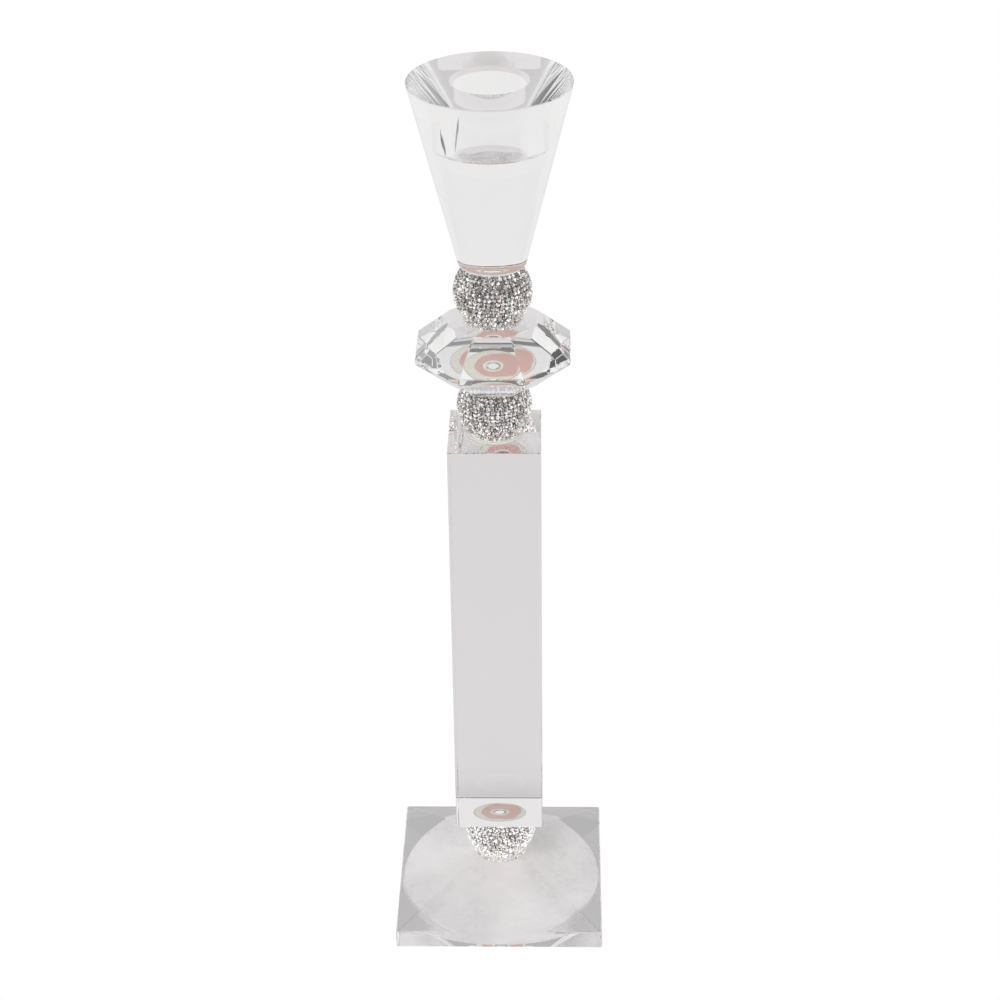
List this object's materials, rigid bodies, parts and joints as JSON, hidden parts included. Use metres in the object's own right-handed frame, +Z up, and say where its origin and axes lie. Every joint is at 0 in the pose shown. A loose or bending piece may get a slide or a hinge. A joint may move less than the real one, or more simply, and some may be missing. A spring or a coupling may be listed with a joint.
{
  "type": "glass candlestick",
  "caption": "Tall clear crystal candlestick with a conical candle cup, a faceted disc, stone-paved balls and a square foot.",
  "frame": {"origin": "centre of the underside of the round pad that the candlestick stands on", "axes": "+Z up along the stack's axis, towards the candle; X and Y along the sides of the square foot"},
  "size_m": [0.072, 0.072, 0.3076],
  "materials": {
    "crystal_glass": "polished clear crystal",
    "cut_stones": "foiled cut stones set in dark grey clay",
    "ring_resin": "cream resin, sanded flat",
    "core_resin": "pink resin, sanded flat",
    "tube_metal": "plain metal tube, cut ends",
    "clear_glue": "clear cured glue film",
    "pad_foam": "white soft foam",
    "pad_tape": "white double-sided film"
  },
  "bodies": {
    "root": {"base_block": "crystal_glass", "base_pad": "pad_foam", "candle_cup": "crystal_glass", "column": "crystal_glass", "faceted_disc": "crystal_glass", "lower_ball_bottom_glue": "clear_glue", "lower_ball_bottom_ring": "ring_resin", "lower_ball_bush": "ring_resin", "lower_ball_core": "core_resin", "lower_ball_paving": "cut_stones", "lower_ball_top_glue": "clear_glue", "lower_ball_top_ring": "ring_resin", "lower_ball_tube": "tube_metal", "middle_ball_bottom_glue": "clear_glue", "middle_ball_bottom_ring": "ring_resin", "middle_ball_bush": "ring_resin", "middle_ball_core": "core_resin", "middle_ball_paving": "cut_stones", "middle_ball_top_glue": "clear_glue", "middle_ball_top_ring": "ring_resin", "middle_ball_tube": "tube_metal", "pad_adhesive": "pad_tape", "upper_ball_bottom_glue": "clear_glue", "upper_ball_bottom_ring": "ring_resin", "upper_ball_bush": "ring_resin", "upper_ball_core": "core_resin", "upper_ball_paving": "cut_stones", "upper_ball_top_glue": "clear_glue", "upper_ball_top_ring": "ring_resin", "upper_ball_tube": "tube_metal"}
  },
  "joints": []
}
